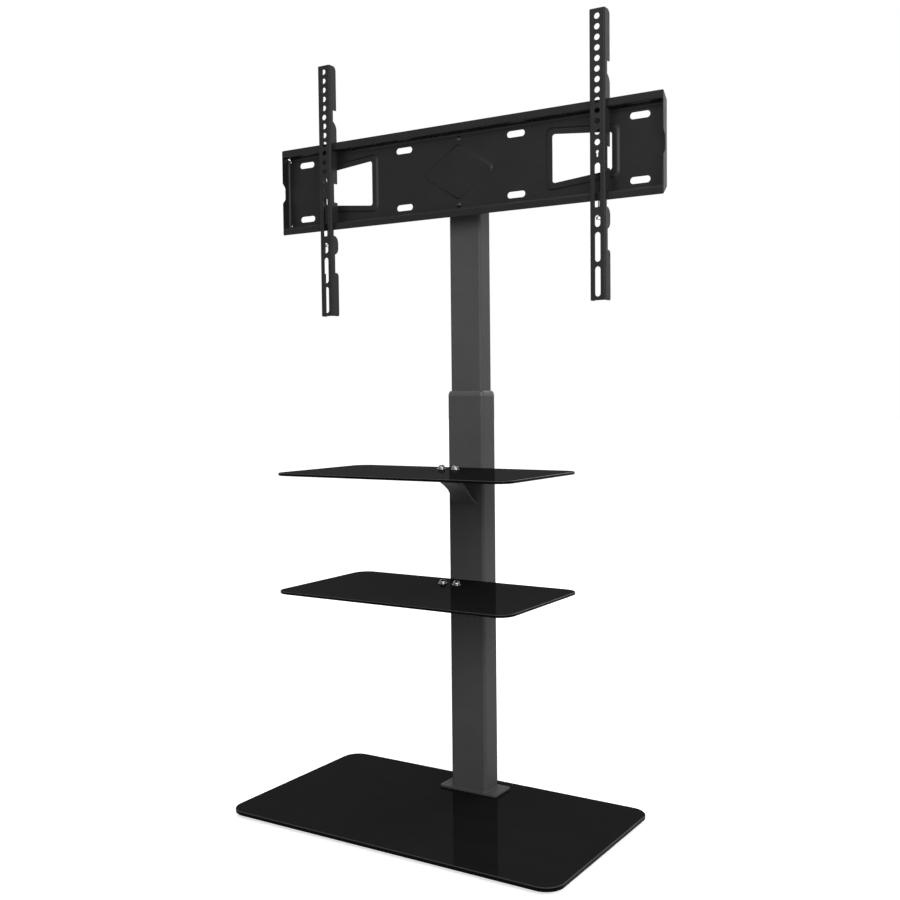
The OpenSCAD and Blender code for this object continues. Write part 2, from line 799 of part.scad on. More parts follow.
module mount_plate() {
    flat_end = plate_w / 2 - tray_out;
    press_top = tray_face - press_h;
    color([0.17, 0.17, 0.17]) translate([0, 0, plate_z]) difference() {
        union() {
            along_x(-flat_end, 2 * flat_end) {
                tray_half();
                mirror([0, 1]) tray_half();
            }
            for (s = [0, 1]) mirror([s, 0, 0]) {
                along_x(flat_end - eps, tray_bend + sheet / 2 + eps)
                    for (m = [0, 1]) mirror([0, m]) rail_part();
                end_flange(flat_end);
                pressed(tray_face + sheet / 2, press_top) {
                    window(rim_w + rim_slope, 12, $fn = 32);
                    window(rim_w - 2, 10, $fn = 32);
                }
            }
            pressed(tray_face + sheet / 2, press_top) {
                diamond(1, 9, $fn = 32);
                diamond(-3, 7, $fn = 32);
            }
        }
        for (s = [0, 1]) mirror([s, 0, 0]) {
            along_y(press_top - 1, press_h + sheet + 2) window(0, 5);
            pressed(tray_back + 1, press_top + sheet) {
                window(rim_w + rim_slope - 0.5, 10, $fn = 32);
                window(rim_w - 4, 8, $fn = 32);
            }
            for (m = [-1, 1]) translate([flat_end, 0, m * (flange_top - tray_out - 1)])
                along_y(tray_face - 1, sheet + 2) circle(d = relief_d);
        }
        pressed(tray_back + 1, press_top + sheet) {
            diamond(0, 8, $fn = 32);
            diamond(-5, 6, $fn = 32);
        }
        for (x = [slot_span_in, slot_span_out], sx = [-1, 1], sz = [-1, 1])
            translate([sx * x / 2, 0, sz * slot_rows / 2]) along_y(tray_face - 1, sheet + 2)
                slot(slot_len, slot_w);
        translate([0, 0, -plate_z]) at_plate_screws(tray_face - 1)
            cylinder(d = plate_screw_d + screw_fit, h = sheet + 2);
    }
}

// The lower ramp of the notch, from its end (t = 0) to its flat bottom (t = 1)
notch_steps = 8;
function notch_point(t) = [rail_face + notch_depth * (1 - cos(180 * t)) / 2,
    -notch_len / 2 + t * (notch_len - notch_flat) / 2];
function mirrored(p) = [p[0], -p[1]];

// An end flange: it closes the ends of the rails, its back corners are cut to clear the
// tray's bends and its free edge has a shallow notch
module end_flange(flat_end) {
    front_h = rail_top - 1;
    back_h = flange_top - tray_out - end_gap;
    edge = rail_face + 0.3;
    difference() {
        intersection() {
            translate([0, 0, -front_h - 1]) linear_extrude(2 * front_h + 2) {
                translate([flat_end, tray_back - tray_out]) bend(tray_bend, sheet);
                translate([flat_end + tray_bend, edge])
                    square([sheet, tray_back - tray_out - edge + eps]);
                translate([flat_end - 1, tray_face]) square([1 + eps, sheet]);
            }
            along_x(flat_end - 2, tray_out + 3) round_poly([
                [edge - 2, -front_h], [edge + 1.5, -front_h], [tray_back + 1, -back_h],
                [tray_back + 1, back_h], [edge + 1.5, front_h], [edge - 2, front_h]],
                [0.5, 1, 2, 2, 1, 0.5]);
        }
        along_x(flat_end, tray_out + 1) polygon(concat(
            [[rail_face - 1, -notch_len / 2]],
            [for (i = [0 : notch_steps]) notch_point(i / notch_steps)],
            [for (i = [notch_steps : -1 : 0]) mirrored(notch_point(i / notch_steps))],
            [[rail_face - 1, notch_len / 2]]));
    }
}

// Hook bars

// One tooth of a bar's side wall, from z0 up to z1, with its two back corners rounded
module tooth(z0, z1, back, r_low, r_up) {
    round_poly([[bar_face, z0], [back, z0], [back, z1], [bar_face, z1]],
        [0.5, r_low, r_up, 0.5]);
}

// The outline of a bar seen from the side, drawn in Y and Z
module bar_side() {
    lip = rail_face + sheet;
    difference() {
        union() {
            translate([bar_face, -bar_down])
                square([hook_strip - bar_face, bar_up + bar_down]);
            tooth(155, bar_up, bar_back, 1.5, 9);
            tooth(rail_top + 2, 156, bar_mid, 1, 1);
            tooth(flange_top + rail_gap, 133, bar_back, 1, 18);
            tooth(6.5, flange_under - rail_gap, bar_back, 1.5, 2);
            tooth(-32.5, 7.5, bar_mid, 1, 1);
            tooth(-flange_under + rail_gap, -31.5, bar_back, 2, 1.5);
            tooth(-138, -rail_top - 11.5, bar_back, 14, 14);
            tooth(-178, -126, bar_mid, 1, 1);
            tooth(-bar_down, -175, bar_back, 4, 7);
        }
        translate([hook_strip, flange_top - 5])
            square([lip + rail_gap - hook_strip, rail_h + 5 + rail_gap]);
        translate([hook_strip, flange_top - 5])
            square([rail_out + rail_gap, rail_gap + 5 + rail_bend * 0.35]);
    }
}

// The bar's channel, seen from above
module bar_channel() {
    difference() {
        round_poly([[-bar_w / 2, bar_face], [bar_w / 2, bar_face],
            [bar_w / 2, bar_back], [-bar_w / 2, bar_back]], [3.5, 3.5, 0.2, 0.2]);
        translate([-bar_w / 2 + bar_t, bar_face + bar_t])
            square([bar_w - 2 * bar_t, bar_depth]);
    }
}

// The long slots in a bar's face, as [upper end, lower end]
bar_slots = [[-23, -102.5], [-114, -135], [-144, -196], [-204, -257]];

module bar_cuts() {
    for (i = [0 : hole_count - 1]) translate([0, 0, bar_up - hole_top - i * hole_pitch])
        along_y(bar_face - 1, bar_t + 2) circle(d = hole_d);
    for (s = bar_slots) translate([0, 0, (s[0] + s[1]) / 2])
        along_y(bar_face - 1, bar_t + 2) rotate(90) slot(s[0] - s[1], hole_d);
    along_y(bar_face - 1, bar_t + 2) {
        translate([0, -4]) circle(d = 6);
        translate([-1.75, -13]) square([3.5, 9]);
    }
    translate([-bar_w, bar_face + bar_lip, -bar_down - 1])
        cube([bar_w / 2 + bar_t + 1, bar_depth, bar_up + bar_down + 2]);
}

module hook_bar(x) {
    color([0.19, 0.19, 0.19]) translate([x, 0, plate_z]) {
        difference() {
            intersection() {
                translate([0, 0, -bar_down - 1]) linear_extrude(bar_up + bar_down + 2)
                    bar_channel();
                along_x(-bar_w, 2 * bar_w) bar_side();
            }
            bar_cuts();
        }
        difference() {
            translate([-bar_w / 2 + bar_t - eps, bar_face + bar_t - eps, lock_tab_z])
                cube([bar_w - 2 * bar_t + 2 * eps, bar_depth - bar_t - 3, bar_t]);
            translate([0, lock_y, lock_tab_z - 1])
                cylinder(d = lock_d + pivot_gap, h = bar_t + 2);
        }
    }
}

module hook_bar_left() {
    hook_bar(-bar_span / 2);
}

module hook_bar_right() {
    hook_bar(bar_span / 2);
}

module lock_screw(x) {
    head_z = lock_tab_z - 14;
    color("silver") translate([x, lock_y, plate_z]) difference() {
        union() {
            translate([0, 0, head_z]) cylinder(d = lock_d, h = -rail_top - rail_gap - head_z);
            translate([0, 0, head_z - lock_head_h]) cylinder(d = lock_head_d, h = lock_head_h);
        }
        translate([0, 0, head_z - lock_head_h - eps]) cylinder(d = 5 / cos(30), h = 3, $fn = 6);
    }
}

module lock_screw_left() {
    lock_screw(-bar_span / 2);
}

module lock_screw_right() {
    lock_screw(bar_span / 2);
}

foot_pads();
base_glass();
under_plate();
under_gasket();
base_bolts();
foot_gasket();
foot_flange();
foot_nuts();
outer_tube();
top_collar();
clamp_plate();
clamp_screws();
bracket_lower();
bracket_upper();
shelf_pad_lower();
shelf_pad_upper();
shelf_lower();
shelf_upper();
shelf_screws();
shelf_nuts();
inner_tube();
bottom_glide();
tube_cap();
friction_disc();
pivot_bolt();
pivot_nut();
swivel_bracket();
mount_plate();
plate_screws();
plate_nuts();
hook_bar_left();
hook_bar_right();
lock_screw_left();
lock_screw_right();
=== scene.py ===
"""Looks of a television floor stand with two glass shelves and a swivelling mount.

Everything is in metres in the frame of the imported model: the floor is z = 0 and the
front of the stand faces -Y. Small sizes are written in millimetres and multiplied by MM.
"""

import json
import math

import bmesh
import bpy
from mathutils import Matrix, Vector


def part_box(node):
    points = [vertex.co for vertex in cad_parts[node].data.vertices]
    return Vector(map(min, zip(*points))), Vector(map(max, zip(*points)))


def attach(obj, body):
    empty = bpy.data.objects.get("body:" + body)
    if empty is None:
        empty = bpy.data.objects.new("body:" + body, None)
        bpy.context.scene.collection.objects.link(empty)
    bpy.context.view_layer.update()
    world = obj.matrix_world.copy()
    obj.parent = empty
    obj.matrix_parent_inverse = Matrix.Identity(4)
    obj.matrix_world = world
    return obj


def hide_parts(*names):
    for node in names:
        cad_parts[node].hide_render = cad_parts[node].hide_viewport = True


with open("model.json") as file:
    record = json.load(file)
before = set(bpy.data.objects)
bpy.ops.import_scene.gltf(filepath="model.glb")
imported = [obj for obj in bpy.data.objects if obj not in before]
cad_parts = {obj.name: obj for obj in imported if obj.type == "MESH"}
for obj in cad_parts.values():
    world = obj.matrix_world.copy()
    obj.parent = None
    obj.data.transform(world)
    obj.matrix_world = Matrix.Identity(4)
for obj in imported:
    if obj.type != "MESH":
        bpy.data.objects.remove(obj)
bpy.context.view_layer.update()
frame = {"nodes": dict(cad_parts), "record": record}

MM = 0.001
SEED = 7
X, Y, Z = 0, 1, 2
UP, DOWN, FRONT, BACK = (0, 0, 1), (0, 0, -1), (0, -1, 0), (0, 1, 0)


# Small tools

def span(node, axis):
    """Where a CAD node begins and ends along an axis, in millimetres."""
    return [round(corner[axis] / MM, 3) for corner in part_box(node)]


def middle(node, axis):
    """The middle of a CAD node's box along an axis, in millimetres."""
    return sum(span(node, axis)) / 2


def metres(points_mm):
    """Points in metres, from points in millimetres."""
    return [[value * MM for value in point] for point in points_mm]


def linear(code):
    """The linear colour of an sRGB hex code."""
    values = [int(code[i:i + 2], 16) / 255 for i in (1, 3, 5)]
    return tuple(v / 12.92 if v <= 0.04045 else ((v + 0.055) / 1.055) ** 2.4
                 for v in values) + (1.0,)


def add(tree, kind, inputs=None, **settings):
    """Adds a node to a tree. An input gets a value, or a link from a node or a socket."""
    made = tree.nodes.new(kind)
    for key, value in settings.items():
        setattr(made, key, value)
    for key, value in (inputs or {}).items():
        if isinstance(value, bpy.types.Node):
            value = next(s for s in value.outputs if s.enabled)
        if isinstance(value, bpy.types.NodeSocket):
            tree.links.new(value, made.inputs[key])
        else:
            made.inputs[key].default_value = value
    return made


def empty_material(name):
    material = bpy.data.materials.new(name)
    material.use_nodes = True
    material.node_tree.nodes.clear()
    return material, material.node_tree


# Places taken from the solids, in millimetres

COLUMN_Y = middle("outer_tube", Y)
SHELF_TOPS = [span(shelf, Z)[1] for shelf in ("shelf_lower", "shelf_upper")]
PLATE_Z = middle("mount_plate", Z)
CLAMP_Z = middle("clamp_plate", Z)


# Finishes

def grained(name, dark, light, rough, grain_mm, depth_mm, mottle_mm, specular=0.5):
    """A coated, moulded or ground surface: a fine grain in relief, and broad, faint
    mottling between two colours and two roughnesses."""
    material, tree = empty_material(name)
    place = add(tree, "ShaderNodeTexCoord").outputs["Object"]
    grain = add(tree, "ShaderNodeTexNoise", {
        "Vector": place, "Scale": 1000 / grain_mm, "Detail": 2.0, "Roughness": 0.6})
    mottle = add(tree, "ShaderNodeTexNoise", {
        "Vector": place, "Scale": 1000 / mottle_mm, "Detail": 4.0, "Roughness": 0.55})
    patch = add(tree, "ShaderNodeMapRange", {
        "Value": mottle, "From Min": 0.3, "From Max": 0.7})
    colour = add(tree, "ShaderNodeMix", {
        0: patch, 6: linear(dark), 7: linear(light)}, data_type="RGBA")
    gloss = add(tree, "ShaderNodeMapRange", {
        "Value": mottle, "From Min": 0.25, "From Max": 0.75,
        "To Min": rough[0], "To Max": rough[1]})
    relief = add(tree, "ShaderNodeBump", {
        "Height": grain, "Strength": 1.0, "Distance": depth_mm * MM})
    surface = add(tree, "ShaderNodeBsdfPrincipled", {
        "Base Color": colour.outputs[2], "Roughness": gloss, "Normal": relief,
        "Specular IOR Level": specular})
    add(tree, "ShaderNodeOutputMaterial", {"Surface": surface})
    return material


def black_float_glass(name, dark, light, coat):
    """Tempered float glass, enamelled black on its underside: a deep, even black with a
    weak mirror on top, faint wipe marks in the gloss and almost no colour of its own."""
    material, tree = empty_material(name)
    place = add(tree, "ShaderNodeTexCoord").outputs["Object"]
    wiped = add(tree, "ShaderNodeMapping", {
        "Vector": place, "Scale": (6.0, 22.0, 6.0)})
    marks = add(tree, "ShaderNodeTexNoise", {
        "Vector": wiped, "Scale": 1.0, "Detail": 5.0, "Roughness": 0.6})
    tint = add(tree, "ShaderNodeMix", {
        0: marks, 6: linear(dark), 7: linear(light)}, data_type="RGBA")
    gloss = add(tree, "ShaderNodeMapRange", {
        "Value": marks, "From Min": 0.35, "From Max": 0.7, "To Min": 0.3, "To Max": 0.45})
    surface = add(tree, "ShaderNodeBsdfPrincipled", {
        "Base Color": tint.outputs[2], "Roughness": gloss, "IOR": 1.52,
        "Specular IOR Level": 0.0, "Coat Weight": coat, "Coat Roughness": 0.02,
        "Coat IOR": 1.52})
    add(tree, "ShaderNodeOutputMaterial", {"Surface": surface})
    return material


def plated(name, dark, light, rough, cloud_mm):
    """Plated or blackened steel: a metal whose gloss varies in small cloudy patches."""
    material, tree = empty_material(name)
    place = add(tree, "ShaderNodeTexCoord").outputs["Object"]
    cloud = add(tree, "ShaderNodeTexNoise", {
        "Vector": place, "Scale": 1000 / cloud_mm, "Detail": 3.0, "Roughness": 0.6})
    colour = add(tree, "ShaderNodeMix", {
        0: cloud, 6: linear(dark), 7: linear(light)}, data_type="RGBA")
    gloss = add(tree, "ShaderNodeMapRange", {
        "Value": cloud, "From Min": 0.3, "From Max": 0.7,
        "To Min": rough[0], "To Max": rough[1]})
    surface = add(tree, "ShaderNodeBsdfPrincipled", {
        "Base Color": colour.outputs[2], "Metallic": 1.0, "Roughness": gloss})
    add(tree, "ShaderNodeOutputMaterial", {"Surface": surface})
    return material


# Powder coat on steel tube, dark grey: fine orange peel about 1.2 mm wide, which the
# render shows only as an even, slightly soft gloss. The mottling is the film's thickness.
CHARCOAL_COAT = grained("charcoal_powder_coat", "#414141", "#454545", (0.46, 0.56),
                        grain_mm=1.2, depth_mm=0.03, mottle_mm=60, specular=0.06)
# Satin powder coat on the pressed mount plate, near black.
PLATE_COAT = grained("satin_black_powder_coat", "#151515", "#181818", (0.34, 0.42),
                     grain_mm=1.0, depth_mm=0.025, mottle_mm=45, specular=0.14)
# Satin powder coat on the hook bars, a little lighter and duller than the plate's.
BAR_COAT = grained("satin_graphite_powder_coat", "#202020", "#242424", (0.42, 0.52),
                   grain_mm=1.0, depth_mm=0.025, mottle_mm=45, specular=0.08)
# Gloss black powder coat on the parts behind the plate, a thinner and shinier film.
BLACK_COAT = grained("gloss_black_powder_coat", "#161616", "#1a1a1a", (0.28, 0.38),
                     grain_mm=1.0, depth_mm=0.02, mottle_mm=30, specular=0.15)
# Moulded nylon with spark-eroded grain: dull black with a soft sheen.
NYLON = grained("moulded_black_nylon", "#2d2d2d", "#343434", (0.5, 0.6),
                grain_mm=0.8, depth_mm=0.04, mottle_mm=20)
# Acetal sheet, turned: off-white, waxy.
ACETAL = grained("turned_white_acetal", "#d9d8d2", "#e4e3de", (0.35, 0.45),
                 grain_mm=0.6, depth_mm=0.01, mottle_mm=12)
# Moulded rubber: matt, slightly dusty black.
RUBBER = grained("moulded_black_rubber", "#161616", "#222222", (0.75, 0.9),
                 grain_mm=0.9, depth_mm=0.05, mottle_mm=15, specular=0.25)
# The enamelled glass of the base, and of the shelves, whose mirror is a little weaker.
BASE_GLASS = black_float_glass("tempered_black_base_glass", "#121212", "#191919", 0.038)
SHELF_GLASS = black_float_glass("tempered_black_shelf_glass", "#121212", "#191919", 0.03)
# The polished side of that glass: almost no colour of its own.
GLASS_SIDE = grained("polished_glass_side", "#030303", "#060606", (0.2, 0.3),
                     grain_mm=2.0, depth_mm=0.004, mottle_mm=25, specular=0.02)
# The ground bevel between face and side, with fine grinding marks in its relief. Its colour,
# a little paler than the glass, is a painted highlight: the line of light the edge catches.
GLASS_ARRIS_PAINTED_HIGHLIGHT = grained("ground_glass_arris", "#2c2c2c", "#343434", (0.4, 0.5),
                      grain_mm=0.5, depth_mm=0.01, mottle_mm=8, specular=0.1)
# Zinc plate, bright and neutral.
ZINC = plated("bright_zinc_plate", "#b6b6b6", "#cecece", (0.2, 0.34), cloud_mm=3.0)
# Nickel plate over polished steel: a clear mirror, darker than zinc, with wiping marks.
BRIGHT_NICKEL = plated("bright_nickel_plate", "#6a6a6a", "#787878", (0.1, 0.16),
                       cloud_mm=4.0)
# Black oxide on steel: dark, oily.
BLACK_OXIDE = plated("black_oxide_steel", "#2a2a2a", "#373737", (0.3, 0.42), cloud_mm=2.5)

FINISHES = {
    "black_glass": BASE_GLASS, "column_paint": CHARCOAL_COAT, "mount_paint": PLATE_COAT,
    "black_steel": BLACK_COAT, "bright_fasteners": ZINC, "black_fasteners": BLACK_OXIDE,
    "guide_plastic": NYLON, "disc_plastic": ACETAL, "pad_rubber": RUBBER,
}

slot_of = {entry["node"]: entry["material_slot"] for entry in frame["record"]["subparts"]}
body_of = {node: body for body, members in frame["record"]["behaviour"]["bodies"].items()
           for node in members}

for name, obj in frame["nodes"].items():
    for material_slot in obj.material_slots:
        material_slot.material = FINISHES[slot_of[name]]


# Making and handing over pieces

def new_object(name, data):
    made = bpy.data.objects.new(name, data)
    bpy.context.scene.collection.objects.link(made)
    return made


def settle(obj):
    """Turns what the modifiers make into the object's plain mesh."""
    depsgraph = bpy.context.evaluated_depsgraph_get()
    mesh = bpy.data.meshes.new_from_object(obj.evaluated_get(depsgraph))
    obj.modifiers.clear()
    obj.data = mesh
    mesh.name = obj.name


def stand_for(made, node):
    """Hands a finished piece over: it moves with the node's body and shows in its place."""
    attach(made, body_of[node])
    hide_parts(node)


# Eased copies of CAD nodes

SAME_POINT = 0.002 * MM         # Corners nearer than this are one corner
FLAT = math.radians(0.5)        # Facets that turn less than this are one face
SHEET_EDGE = math.radians(60)   # A sharper edge than this is a cut edge
FOLD = math.radians(13)         # A blunter one than this is the facet of a curve
PRESSED_REACH = (0.345, 0.064)  # Half the width and height, in metres, that hold pressed forms
FACING = 0.6                    # A pressed slope looks at least this much along Y


def pressed(edge):
    """Whether an edge is on a pressed form of the mount plate: both its faces look
    forwards or backwards, and it is inside the flat of the plate."""
    centre = (edge.verts[0].co + edge.verts[1].co) / 2
    return (all(abs(face.normal.y) > FACING for face in edge.link_faces)
            and abs(centre.x) < PRESSED_REACH[0]
            and abs(centre.z - PLATE_Z * MM) < PRESSED_REACH[1])


def eased(name, node, edge_mm, fold_mm=0.0, finish=None, segments=2):
    """A copy of a CAD node with its cut edges broken by edge_mm. Where fold_mm is given,
    the blunter edges between pressed slopes are rounded by it."""
    mesh = frame["nodes"][node].data.copy()
    mesh.name = name
    work = bmesh.new()
    work.from_mesh(mesh)
    bmesh.ops.remove_doubles(work, verts=work.verts, dist=SAME_POINT)
    bmesh.ops.dissolve_limit(work, angle_limit=FLAT, verts=work.verts, edges=work.edges)
    widest = max(edge_mm, fold_mm)
    weight = work.edges.layers.float.new("bevel_weight_edge")
    for edge in work.edges:
        edge.smooth = True
        bend = edge.calc_face_angle(0.0)
        if bend > SHEET_EDGE:
            edge[weight] = edge_mm / widest
        elif bend > FOLD and fold_mm and pressed(edge):
            edge[weight] = fold_mm / widest
    for face in work.faces:
        face.smooth = True
    work.to_mesh(mesh)
    work.free()
    if "custom_normal" in mesh.attributes:
        mesh.attributes.remove(mesh.attributes["custom_normal"])
    made = new_object(name, mesh)
    ease = made.modifiers.new("ease", "BEVEL")
    ease.width = widest * MM
    ease.segments = segments
    ease.limit_method = "WEIGHT"
    ease.use_clamp_overlap = False
    weigh = made.modifiers.new("flat_faces", "WEIGHTED_NORMAL")
    weigh.weight = 100
    weigh.keep_sharp = True
    settle(made)
    made.data.materials.clear()
    made.data.materials.append(finish or FINISHES[slot_of[node]])
    stand_for(made, node)
    return made


FACE_RISE, ARRIS_RISE = 0.95, 0.3   # How far up the glass's face and arris look


def glass_plate(name, node, arris_mm, face):
    """A glass plate: black face, ground arris with a painted highlight, and polished side."""
    made = eased(name, node, arris_mm, segments=1, finish=face)
    # The arris gets a colour paler than the glass: a painted highlight along the edge.
    made.data.materials.append(GLASS_ARRIS_PAINTED_HIGHLIGHT)
    made.data.materials.append(GLASS_SIDE)
    for polygon in made.data.polygons:
        rise = polygon.normal.z
        on_face, on_arris = abs(rise) > FACE_RISE, rise > ARRIS_RISE
        polygon.material_index = 0 if on_face else 1 if on_arris else 2


# Piece, CAD node and how far its cut edges are eased, in millimetres. Parts with small
# fillets are eased less, so that the new facets don't run into each other.
STEEL_PARTS = (
    ("column_foot", "foot_flange", 0.6),
    ("outer_column", "outer_tube", 0.3),
    ("inner_column", "inner_tube", 0.3),
    ("column_collar", "top_collar", 0.4),
    ("height_clamp", "clamp_plate", 0.6),
    ("lower_bracket", "bracket_lower", 0.3),
    ("upper_bracket", "bracket_upper", 0.3),
    ("swivel_arm", "swivel_bracket", 0.3),
    ("column_cap", "tube_cap", 0.5),
    ("under_base_plate", "under_plate", 0.6),
)

glass_plate("base_plate", "base_glass", 1.2, BASE_GLASS)
for level in ("lower", "upper"):
    glass_plate(level + "_shelf", "shelf_" + level, 0.9, SHELF_GLASS)
for name, node, edge_mm in STEEL_PARTS:
    eased(name, node, edge_mm)
eased("television_plate", "mount_plate", 0.35, fold_mm=1.2, segments=3)
for side in ("left", "right"):
    eased(side + "_hook_bar", "hook_bar_" + side, 0.15, finish=BAR_COAT)


# Screws, bolts, nuts and pads: rings about Z, in millimetres, placed by a node tree

CREASE = math.radians(28)   # Facets of a fixing that turn more than this meet in an edge
THREAD_DEPTH = 0.54         # Depth of a screw thread as a share of its pitch
HEX = math.cos(math.pi / 6)     # Width of a hexagon's flats as a share of its corners'


def rings_round_z(name, profile, sides=48):
    """A closed solid about Z. Each ring is (radius, height, flats, ribs): flats is the
    width across a hexagon that trims the ring, ribs how deep its knurling is, and both
    may be left out. A profile that starts on the axis ends on it; any other is a loop."""
    rings = [tuple(ring) + (0,) * (4 - len(ring)) for ring in profile]
    solid = rings[0][0] == 0
    poles = [rings.pop(0), rings.pop()] if solid else []
    verts = []
    for radius, height, flats, ribs in rings:
        for k in range(sides):
            turn = 2 * math.pi * k / sides
            reach = radius - ribs * (k % 2)
            if flats:
                from_flat = (turn + math.pi / 6) % (math.pi / 3) - math.pi / 6
                reach = min(reach, flats / 2 / math.cos(from_flat))
            verts.append((reach * math.cos(turn), reach * math.sin(turn), height))
    faces = []
    count = len(rings)
    for i in range(count - 1 if solid else count):
        low, high = i * sides, (i + 1) % count * sides
        for k in range(sides):
            n = (k + 1) % sides
            faces.append((low + k, low + n, high + n, high + k))
    if solid:
        first, last = len(verts), len(verts) + 1
        verts += [(0, 0, pole[1]) for pole in poles]
        top = (count - 1) * sides
        for k in range(sides):
            n = (k + 1) % sides
            faces.append((first, n, k))
            faces.append((top + k, top + n, last))
    mesh = bpy.data.meshes.new(name)
    mesh.from_pydata(metres(verts), [], faces)
    mesh.polygons.foreach_set("use_smooth", [True] * len(mesh.polygons))
    mesh.set_sharp_from_angle(angle=CREASE)
    mesh.update()
    return mesh


def thread(radius, low, high, pitch):
    """The rings of a screw thread, drawn as closed grooves instead of a spiral."""
    turns = int((high - low) / pitch)
    root = radius - THREAD_DEPTH * pitch
    rings = []
    for i in range(turns):
        rings += [(radius, low + i * pitch), (root, low + (i + 0.5) * pitch)]
    return rings + [(radius, low + turns * pitch)]


def shank(radius, length, pitch, bare=1.0):
    """A threaded shank below z = 0 with a chamfered tip."""
    chamfer = radius * 0.25
    return ([(0, -length), (radius - chamfer, -length)]
            + thread(radius, -length + chamfer, -bare, pitch)
            + [(radius, -bare / 2)])


def dome(radius, height, base, stop, steps=10):
    """Rings of a ball cap of that radius and height on z = base, from the first one
    above its rim up to ring radius stop."""
    ball = (radius * radius + height * height) / (2 * height)
    centre = base + height - ball
    start = math.asin((base - centre) / ball) if ball > height else 0
    end = math.acos(stop / ball)
    turns = [start + (end - start) * i / steps for i in range(1, steps + 1)]
    return [(min(radius, ball * math.cos(turn)), centre + ball * math.sin(turn))
            for turn in turns]


def socket(flats, rim, depth):
    """Rings of a hexagon socket, from its countersunk rim down to its drilled middle."""
    corner = flats / 2 / HEX
    return [(corner + 0.05, rim - 0.25, flats), (corner, rim - depth, flats),
            (0, rim - depth - flats * 0.15)]


def knurled_head(radius, height, ease, grip, mouth):
    """Rings of a cap screw's head, knurled between the two heights of grip. Its lower
    edge is eased by ease, and the mouth is the radius where its socket begins."""
    return [(radius - ease, 0), (radius, 0.4),
            (radius, grip[0] - 0.1), (radius, grip[0], 0, 0.2),
            (radius, grip[1], 0, 0.2), (radius, grip[1] + 0.1),
            (radius, height - 0.5), (radius - 0.5, height), (mouth, height)]


def nut(flats, height, bore, ease=0.4):
    """Rings of a hexagon nut from z = 0 up, chamfered at both ends and in its bore."""
    corner = flats / 2 / HEX
    face = flats / 2 - 0.1
    cut = (corner - flats / 2) * 0.8
    return ([(bore / 2 + ease, 0), (face, 0), (corner, cut, flats),
             (corner, height - cut, flats), (face, height),
             (bore / 2 + ease, height), (bore / 2, height - ease), (bore / 2, ease)])


def fixings_tree():
    """Puts a fixing on each point, its head towards Axis, each turned by chance."""
    tree = bpy.data.node_groups.new("fixings_on_points", "GeometryNodeTree")
    face = tree.interface
    face.new_socket("Points", in_out="INPUT", socket_type="NodeSocketGeometry")
    face.new_socket("Fixing", in_out="INPUT", socket_type="NodeSocketObject")
    face.new_socket("Axis", in_out="INPUT", socket_type="NodeSocketVector")
    face.new_socket("Seed", in_out="INPUT", socket_type="NodeSocketInt")
    face.new_socket("Finish", in_out="INPUT", socket_type="NodeSocketMaterial")
    face.new_socket("Fixings", in_out="OUTPUT", socket_type="NodeSocketGeometry")
    given = add(tree, "NodeGroupInput").outputs
    fixing = add(tree, "GeometryNodeObjectInfo", {"Object": given["Fixing"]})
    lean = add(tree, "FunctionNodeAlignRotationToVector", {"Vector": given["Axis"]},
               axis="Z")
    chance = add(tree, "FunctionNodeRandomValue", {
        2: 0.0, 3: 2 * math.pi, "Seed": given["Seed"]}, data_type="FLOAT")
    turn = add(tree, "FunctionNodeAxisAngleToRotation", {"Axis": UP, "Angle": chance})
    both = add(tree, "FunctionNodeRotateRotation", {
        "Rotation": lean, "Rotate By": turn}, rotation_space="LOCAL")
    placed = add(tree, "GeometryNodeInstanceOnPoints", {
        "Points": given["Points"], "Instance": fixing.outputs["Geometry"],
        "Rotation": both})
    real = add(tree, "GeometryNodeRealizeInstances", {"Geometry": placed})
    painted = add(tree, "GeometryNodeSetMaterial", {
        "Geometry": real, "Material": given["Finish"]})
    add(tree, "NodeGroupOutput", {0: painted})
    return tree


def run_tree(obj, tree, values):
    """Runs a node tree on an object with the given inputs and keeps the result."""
    modifier = obj.modifiers.new(tree.name, "NODES")
    modifier.node_group = tree
    for item in tree.interface.items_tree:
        if item.name in values:
            modifier[item.identifier] = values[item.name]
    settle(obj)


FIXINGS = fixings_tree()


def fixings(name, node, profile, places_mm, axis, finish=None):
    """A row of the same fixing at the given places, which stands for a node."""
    pattern = new_object(name + "_pattern", rings_round_z(name + "_pattern", profile))
    points = bpy.data.meshes.new(name)
    points.from_pydata(metres(places_mm), [], [])
    made = new_object(name, points)
    run_tree(made, FIXINGS, {"Fixing": pattern, "Axis": axis, "Seed": SEED,
                             "Finish": finish or FINISHES[slot_of[node]]})
    bpy.data.objects.remove(pattern)
    stand_for(made, node)


# Two bright dome screws through each shelf, with a nut under the bracket
SHELF_SCREW_APART, SHELF_NUT_DROP = 31, 15
shelf_flange = [(9, 0), (9, 0.8), (8.8, 1.25), (8.3, 1.5), (7.2, 1.5), (7, 1.7)]
shelf_screw = (shank(radius=3, length=16, pitch=1.0) + shelf_flange
               + dome(radius=7, height=8, base=0.75, stop=2.6, steps=12)
               + socket(flats=4, rim=8.3, depth=3.3))
shelf_places = [(side * SHELF_SCREW_APART / 2, middle("shelf_screws", Y), top)
                for top in SHELF_TOPS for side in (-1, 1)]
fixings("shelf_dome_screws", "shelf_screws", shelf_screw, shelf_places, UP,
        finish=BRIGHT_NICKEL)
fixings("shelf_hex_nuts", "shelf_nuts", nut(flats=9.6, height=5, bore=6),
        [(x, y, top - SHELF_NUT_DROP) for x, y, top in shelf_places], UP)

